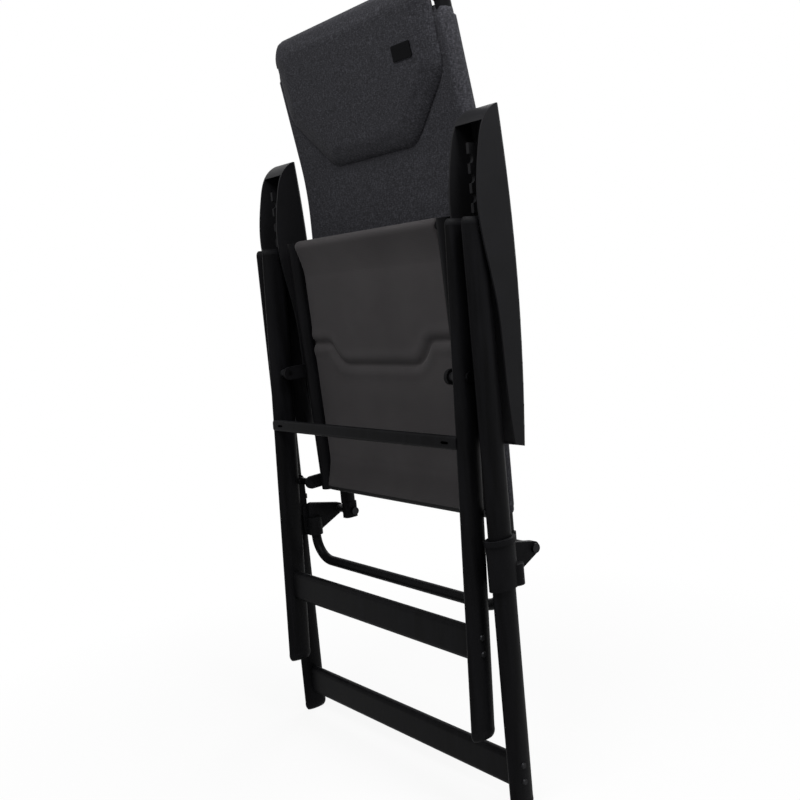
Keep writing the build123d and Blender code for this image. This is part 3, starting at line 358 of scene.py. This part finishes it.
seat_up = seat_half_long * np.sin(np.linspace(-1, 1, 161) * math.pi / 2)
seat_wide = seat_half_wide - seat_corner * (1 - rim(seat_half_long - np.abs(seat_up), seat_corner))
seat_points, seat_faces = pad_mesh(seat_up, seat_wide, seat_under, seat_top)

# The seam in the underside, as runs of (across, towards the rear) in metres
seat_seam_half = np.array([[0.0, -0.006], [0.085, -0.006], [0.098, -0.009], [0.109, -0.017], [0.118, -0.028],
                           [0.125, -0.038], [0.134, -0.042], [0.215, -0.043]])
seat_seam = np.vstack([seat_seam_half[:0:-1] * [-1, 1], seat_seam_half])


def threads(material, place, direction, thread_mm, wander, detail=2.0):
    """Ribs of thread_mm: the wave's phase is 20 * scale * metres, half a turn to each thread."""
    wave = add_node(
        material,
        "ShaderNodeTexWave",
        {
            "bands_direction": direction,
            "Scale": 1000 / thread_mm / 20 * math.pi,
            "Distortion": wander,
            "Detail": detail,
        },
        {"Vector": place},
    )
    return wave.outputs["Fac"]


# Coated polyester canvas: plain weave of 0.5 mm threads, drawn at 1.2 mm to show, with a soft dull sheen
canvas_mm = 1.2
clouds_per_metre = 9.0
canvas, place = new_material("coated_polyester_canvas")
warp = threads(canvas, place, "X", canvas_mm, 0.6, 1.0)
weft = threads(canvas, place, "Z", canvas_mm, 0.6, 1.0)
weave = add_node(canvas, "ShaderNodeMath", {"operation": "MULTIPLY"}, {0: warp, 1: weft}).outputs[0]
cloud = noise(canvas, place, 1000 / clouds_per_metre, 3.0)
mixed = add_node(canvas, "ShaderNodeMath", {"operation": "MULTIPLY_ADD", 1: 0.25}, {0: weave, 2: cloud})
surface(
    canvas,
    {"Roughness": 0.72, "IOR": 1.45, "Specular IOR Level": 0.12, "Sheen Weight": 0.03, "Sheen Roughness": 0.4},
    {
        "Base Color": two_tone(canvas, mixed.outputs[0], "333132", "3d3b3c", 0.25, 0.85),
        "Normal": bump(canvas, weave, 0.2, 0.3),
    },
)

# Binding tape along the rear edge: the same canvas, darker and pressed flat
binding, place = new_material("black_binding_tape")
ribs = threads(binding, place, "X", canvas_mm, 0.4)
surface(
    binding,
    {"Roughness": 0.7, "Specular IOR Level": 0.1},
    {"Base Color": two_tone(binding, ribs, "0e0e0f", "161617")},
)


def on_seat_seam(points):
    """True on the underside within a stitch of the seam, over the rails and where the cover is drawn to the ends."""
    near = (line_distance(points[:, :2], seat_seam) < seat_stitch) & (points[:, 2] < seat_under_top)
    over_rail = np.abs(points[:, 0]) > seat_rail_inside
    return near | over_rail | (np.abs(points[:, 1]) > seat_half_long - seat_roll - seat_draw)


seat_pad = new_piece("seat_pad_cover", seat_points, seat_faces, canvas)
puff(seat_pad, voxel=0.003, cap=0.004, sewn=on_seat_seam, finer=0)
seat_shape = spots(seat_pad)
seam_gap = line_distance(seat_shape[:, :2], seat_seam)
under = (seat_shape[:, 2] < seat_under_top) & (np.abs(seat_shape[:, 1]) < seat_half_long - 2 * seat_roll)
seat_shape[:, 2] += np.where(under, seat_groove_deep * swell(seam_gap, seat_groove_wide), 0)
seat_shape[:, 2] -= np.where(under, seat_ridge_high * swell(seam_gap - seat_ridge_off, seat_ridge_wide), 0)
seat_pad.data.materials.append(binding)
face_middles = np.empty(len(seat_pad.data.polygons) * 3)
seat_pad.data.polygons.foreach_get("center", face_middles)
bound = face_middles.reshape(-1, 3)[:, 1] > seat_half_long - seat_tape
seat_pad.data.polygons.foreach_set("material_index", bound.astype(np.int32))
move_spots(
    seat_pad,
    seat_middle + seat_shape[:, :1] * seat_side + seat_shape[:, 1:2] * seat_rearward + seat_shape[:, 2:] * seat_upper,
)
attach(seat_pad, "seat")
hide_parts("seat_pad")


# Back pad: a padded sleeve of woven melange polyester over both back rails, bent forward at the head.
# Three sewn seams cross its front, and it is cut back where the armrest brackets clamp the rails.
rail_x = 0.200
rail_y = 0.0572
rail_across = 0.016
rail_along = 0.028
cloth_thick = 0.003
bend_z = 0.930
bend_reach = 0.05
back_lean = math.radians(10.5)
back_half_wide = 0.212
back_low = 0.398 - bend_z
back_high = 0.2035
back_front = 0.0165
back_rear = 0.018
back_rim = 0.016
back_corner = 0.018
back_end = 0.02
bracket_z = 0.581 - bend_z
bracket_half, bracket_soft, bracket_cut = 0.0235, 0.0014, 0.029
bracket_free = 0.034
bracket_held = 0.04
back_seams = -0.16 * np.array([1.0, 2.0, 3.0])
back_stitch = 0.004
back_hem = 0.003
back_sewn_from = 0.01
back_face = -0.006
back_groove_deep, back_groove_wide = 0.005, 0.0055
back_groove_fade, back_groove_least = 0.012, 0.3


def along_back(points):
    """Carries (across, up from the bend, depth) onto the bent back: the lean grows evenly from 0 to its full
    angle between bend_reach under and over the bend, and depth lies square to it."""
    run = np.linspace(-0.7, 0.4, 2201)
    lean = back_lean * np.clip((run + bend_reach) / (2 * bend_reach), 0, 1)
    step = run[1] - run[0]
    forth = np.concatenate([[0], np.cumsum(-np.sin((lean[1:] + lean[:-1]) / 2) * step)])
    rise = np.concatenate([[0], np.cumsum(np.cos((lean[1:] + lean[:-1]) / 2) * step)]) + run[0]
    on_head = 0.3
    forth -= np.interp(on_head, run, forth) + math.sin(back_lean) * on_head
    rise += math.cos(back_lean) * on_head - np.interp(on_head, run, rise)
    turn = np.interp(points[:, 1], run, lean)
    y = rail_y + np.interp(points[:, 1], run, forth) + points[:, 2] * np.cos(turn)
    z = bend_z + np.interp(points[:, 1], run, rise) + points[:, 2] * np.sin(turn)
    return np.stack([points[:, 0], y, z], axis=1)


def half_at(up):
    """Half width of the back pad: full, drawn in smoothly to clear the armrest brackets."""
    notch = 1 / (1 + np.exp((np.abs(up - bracket_z) - bracket_half) / bracket_soft))
    return back_half_wide - bracket_cut * notch


def back_sheet(depth):
    """One sheet of the back pad: depth times its rounded rim, by the distance to the ends and sides."""
    def height(across, up):
        end = np.minimum(up - back_low, back_high - up)
        side = np.maximum(half_at(up) - np.abs(across), 0)
        return depth * rim(np.minimum(end, side), back_rim)
    return height


def seams_off(points):
    """Distance of points to the nearest cross seam."""
    return np.abs(points[:, 1:2] - back_seams[None, :]).min(1)


def on_back_seam(points):
    """True on the front within a stitch of a cross seam or round the headrest, and along the pad's edge."""
    front = ((seams_off(points) < back_stitch) | (points[:, 1] > back_sewn_from)) & (points[:, 2] < 0)
    return front | (np.abs(points[:, 2]) < back_hem) | (np.abs(points[:, 1] - bracket_z) < bracket_held)


closer = np.sin(np.linspace(-1, 1, 41) * math.pi / 2)
back_up = np.unique(np.concatenate([
    back_low + back_end * (1 + closer) / 2,
    np.linspace(back_low + back_end, back_high - back_end, 190),
    back_high - back_end * (1 - closer) / 2,
]))
back_from_end = np.minimum(back_up - back_low, back_high - back_up)
back_wide = half_at(back_up) - back_corner * (1 - rim(back_from_end, back_corner))
back_points, back_faces = pad_mesh(back_up, back_wide, back_sheet(-back_front), back_sheet(back_rear))

# Melange weave: light and dark yarns of 1.2 mm, their flecks some 4.5 mm long both ways, bulky and dull
yarn_mm = 1.2
fleck_mm = 4.5
melange, place = new_material("woven_melange_polyester")
flecks = [
    noise(
        melange,
        add_node(
            melange, "ShaderNodeMapping", {"Scale": tuple(1 / size for size in sizes_mm)}, {"Vector": place}
        ).outputs[0],
        1.0,
        1.5,
    )
    for sizes_mm in ((fleck_mm, fleck_mm, yarn_mm), (yarn_mm, fleck_mm, fleck_mm))
]
both = add_node(melange, "ShaderNodeMath", {"operation": "ADD"}, {0: flecks[0], 1: flecks[1]})
halved = add_node(melange, "ShaderNodeMath", {"operation": "MULTIPLY", 1: 0.5}, {0: both.outputs[0]}).outputs[0]
surface(
    melange,
    {"Roughness": 0.88, "IOR": 1.45, "Specular IOR Level": 0.12, "Sheen Weight": 0.03, "Sheen Roughness": 0.5},
    {
        "Base Color": two_tone(melange, halved, "1f1f22", "3e3e43", 0.36, 0.66, [(0.5, "2a2a2e")]),
        "Normal": bump(melange, halved, 0.5, 0.8),
    },
)

# The cover is pressed over the rails where it would sink into them, and its seams are sewn in
back_pad = new_piece("back_pad_cover", back_points, back_faces, melange)
puff(back_pad, voxel=0.006, cap=0.003, sewn=on_back_seam, finer=1)
back_shape = spots(back_pad)
beside_rail = np.abs(back_shape[:, 0]) - rail_x
on_rail = np.hypot(beside_rail / (rail_across / 2 + cloth_thick), back_shape[:, 2] / (rail_along / 2 + cloth_thick))
off_ends = (back_shape[:, 1] > back_low + back_end) & (back_shape[:, 1] < back_high - back_end)
pressed = (on_rail < 1) & off_ends & (np.abs(back_shape[:, 1] - bracket_z) > bracket_free)
outward = np.where(pressed, 1 / np.maximum(on_rail, 0.2), 1.0)
back_shape[:, 0] = np.sign(back_shape[:, 0]) * (rail_x + beside_rail * outward)
back_shape[:, 2] *= outward
from_rail = rail_x - rail_across - np.abs(back_shape[:, 0])
groove = back_groove_deep * np.clip(from_rail / back_groove_fade, back_groove_least, 1)
groove = groove * swell(seams_off(back_shape), back_groove_wide)
back_shape[:, 2] += np.where(back_shape[:, 2] < back_face, groove, 0)
move_spots(back_pad, along_back(back_shape))
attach(back_pad, "back")
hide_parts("back_pad")


# Headrest: a fuller cushion sewn on the upper front of the back pad in the same melange cloth.
# Its lower edge is a seam that drops from both sides to a level run in the middle.
head_top = 0.2435
head_bottom = 0.024
head_foot = 0.03
head_foot_half = 0.086
head_half = 0.196
head_round, head_round_bow = 0.026, 0.0076
head_full = 0.0125
head_sunk = 0.003
head_rim = 0.032
head_hem = 0.001
head_edge_half = np.array([[0.0, 0.024], [0.092, 0.0243], [0.106, 0.029], [0.117, 0.038], [0.15, 0.0705],
                           [0.178, 0.0985], [0.189, 0.111], [0.1945, 0.124], [head_half, 0.136]])
head_corner = np.array([
    [head_half, head_top - head_round],
    [head_half - head_round_bow, head_top - head_round_bow],
    [head_half - head_round, head_top],
])
head_border_half = np.vstack([head_edge_half, head_corner])
head_border = np.vstack([head_edge_half[:0:-1] * [-1, 1], head_border_half, head_border_half[:7:-1] * [-1, 1]])
quarter = np.linspace(0, 1, 25) * math.pi / 2
head_rows = np.unique(np.concatenate([
    head_bottom + head_foot * (1 - np.cos(quarter)),
    np.linspace(head_bottom + head_foot, head_top - head_round, 60),
    head_top - head_round * (1 - np.sin(quarter)),
]))
head_side = np.interp(head_rows, head_edge_half[1:, 1], head_edge_half[1:, 0], left=head_foot_half)
head_side = head_side - head_round * (1 - rim(head_top - head_rows, head_round))


def head_front(across, up):
    """Front of the headrest: its fullness times a rounded rim, by the distance to its border."""
    flat = np.stack([across.ravel(), up.ravel()], axis=1)
    inside = line_distance(flat, head_border).reshape(across.shape)
    return head_rear(across, up) - (head_full + head_sunk) * rim(inside, head_rim)


def head_rear(across, up):
    """Rear of the headrest, flat and a little sunk into the pad."""
    return np.full(across.shape, -back_front + head_sunk)


def on_head_border(points):
    """True along the sewn border and on the rear."""
    return points[:, 2] > -back_front - head_hem


head_points, head_faces = pad_mesh(head_rows, head_side, head_front, head_rear)
headrest = new_piece("headrest_cover", head_points, head_faces, melange)
puff(headrest, voxel=0.0045, cap=0.0012, sewn=on_head_border, finer=1)
move_spots(headrest, along_back(spots(headrest)))
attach(headrest, "back")
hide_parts("headrest_cushion")


# Patch: a small label of woven black satin, cut square and left bare.
# It is sewn flat on the headrest, right of its middle.
satin_mm = 0.7
satin, place = new_material("woven_black_satin")
ribs = threads(satin, place, "DIAGONAL", satin_mm, 0.3)
surface(
    satin,
    {"Roughness": 0.45, "IOR": 1.45, "Specular IOR Level": 0.03},
    {"Base Color": two_tone(satin, ribs, "050506", "0c0c0e"), "Normal": bump(satin, ribs, 0.15, 0.2)},
)
dress(satin, "headrest_patch")


# Armrests: deep channels moulded in black polypropylene, open downwards, with a toothed rack inside.
# The outer skin is smooth and satin; they pivot on the back rails and rest on the hinge of the legs.
arm_grain_mm = 1.6
arm_clouds_per_metre = 18.0
arm_skin, place = new_material("moulded_black_polypropylene")
pebble = add_node(arm_skin, "ShaderNodeTexVoronoi", {"Scale": 1000 / arm_grain_mm}, {"Vector": place})
cloud = noise(arm_skin, place, 1000 / arm_clouds_per_metre, 3.0)
surface(
    arm_skin,
    {"Roughness": 0.4, "IOR": 1.49, "Specular IOR Level": 0.05},
    {
        "Base Color": two_tone(arm_skin, cloud, "161617", "1e1e20"),
        "Normal": bump(arm_skin, pebble.outputs["Distance"], 0.12, 0.3),
    },
)
dress(arm_skin, "armrest_left", "armrest_right", "arm_rack_left", "arm_rack_right")


# Stage: a pale floor under the feet and a white surround.
# Seen by the camera both are white, and the floor keeps a part of the chair's shadow.
floor_half = 20
white_near, white_far = 0.9, 1.0
near_reach, far_reach = 0.3, 1.0
floor_corners = [(x * floor_half, y * floor_half, 0) for x, y in ((-1, -1), (1, -1), (1, 1), (-1, 1))]
floor_mesh = bpy.data.meshes.new("floor")
floor_mesh.from_pydata(floor_corners, [], [(0, 1, 2, 3)])
floor = bpy.data.objects.new("floor", floor_mesh)
bpy.context.scene.collection.objects.link(floor)
pale_floor, place = new_material("pale_floor")
ray = add_node(pale_floor, "ShaderNodeLightPath", {}, {})
seen = add_node(
    pale_floor,
    "ShaderNodeMath",
    {"operation": "MAXIMUM"},
    {0: ray.outputs["Is Camera Ray"], 1: ray.outputs["Is Glossy Ray"]},
)
reach = add_node(pale_floor, "ShaderNodeVectorMath", {"operation": "LENGTH"}, {0: place})
whiter = add_node(
    pale_floor,
    "ShaderNodeMapRange",
    {"From Min": near_reach, "From Max": far_reach, "To Min": white_near, "To Max": white_far},
    {"Value": reach.outputs["Value"]},
)
share = add_node(
    pale_floor, "ShaderNodeMath", {"operation": "MULTIPLY"}, {0: seen.outputs[0], 1: whiter.outputs["Result"]}
)
lit = add_node(pale_floor, "ShaderNodeBsdfDiffuse", {"Color": linear("eeeeee")}, {})
white = add_node(pale_floor, "ShaderNodeEmission", {"Color": (1, 1, 1, 1), "Strength": 1.0}, {})
blended = add_node(
    pale_floor, "ShaderNodeMixShader", {}, {0: share.outputs[0], 1: lit.outputs[0], 2: white.outputs[0]}
)
add_node(pale_floor, "ShaderNodeOutputMaterial", {}, {"Surface": blended.outputs[0]})
floor_mesh.materials.append(pale_floor)

lighting_level, seen_level = 0.15, 1.0
surround = bpy.data.worlds.new("white_surround")
bpy.context.scene.world = surround
surround.use_nodes = True
surround.node_tree.nodes.clear()
ray = add_node(surround, "ShaderNodeLightPath", {}, {})
mirrored = add_node(
    surround,
    "ShaderNodeMath",
    {"operation": "ADD"},
    {0: ray.outputs["Is Glossy Ray"], 1: ray.outputs["Is Transmission Ray"]},
)
watched = add_node(
    surround, "ShaderNodeMath", {"operation": "ADD"}, {0: mirrored.outputs[0], 1: ray.outputs["Is Camera Ray"]}
)
level = add_node(
    surround, "ShaderNodeMapRange", {"To Min": lighting_level, "To Max": seen_level}, {"Value": watched.outputs[0]}
)
sky = add_node(surround, "ShaderNodeBackground", {"Color": (1, 1, 1, 1)}, {"Strength": level.outputs["Result"]})
add_node(surround, "ShaderNodeOutputWorld", {}, {"Surface": sky.outputs[0]})


# Lamps: soft boxes above the front, above the chair's right side and behind it.
# They hang near the chair, so that their light falls off from the headrest to the feet.
def soft_box(name, place, target, size, power):
    """A square area lamp at place, facing target."""
    lamp = bpy.data.lights.new(name, "AREA")
    lamp.size = size
    lamp.energy = power
    box = bpy.data.objects.new(name, lamp)
    box.location = place
    box.rotation_euler = (Vector(target) - Vector(place)).to_track_quat("-Z", "Y").to_euler()
    bpy.context.scene.collection.objects.link(box)


soft_box("top_soft_box", (0.42, -0.85, 1.9), (0, 0, 0.9), 0.8, 17.5)
soft_box("rear_soft_box", (-0.8, 1.6, 1.8), (0, 0, 0.8), 1.0, 16)
soft_box("side_soft_box", (0.8, 0.1, 1.75), (0.28, 0.03, 1.0), 0.5, 15.5)


# Camera: a short tele lens at seat height, off the chair's front corner.
# It looks a little down and is tipped sideways, as in the photograph.
yaw, pitch, roll = math.radians(51.734), math.radians(-6.689), math.radians(-5.422)
ahead = Vector((-math.sin(yaw) * math.cos(pitch), math.cos(yaw) * math.cos(pitch), math.sin(pitch)))
level_right = Vector((math.cos(yaw), math.sin(yaw), 0))
level_up = level_right.cross(ahead)
right = math.cos(roll) * level_right + math.sin(roll) * level_up
up = -math.sin(roll) * level_right + math.cos(roll) * level_up
lens = bpy.data.cameras.new("camera")
lens.lens = 43.864
lens.sensor_width = 36.0
lens.clip_end = 100.0
camera = bpy.data.objects.new("camera", lens)
camera.matrix_world = Matrix((right, up, -ahead)).transposed().to_4x4()
camera.location = (1.2160, -0.9198, 0.7529)
bpy.context.scene.collection.objects.link(camera)
bpy.context.scene.camera = camera
bpy.context.scene.view_settings.view_transform = "Standard"
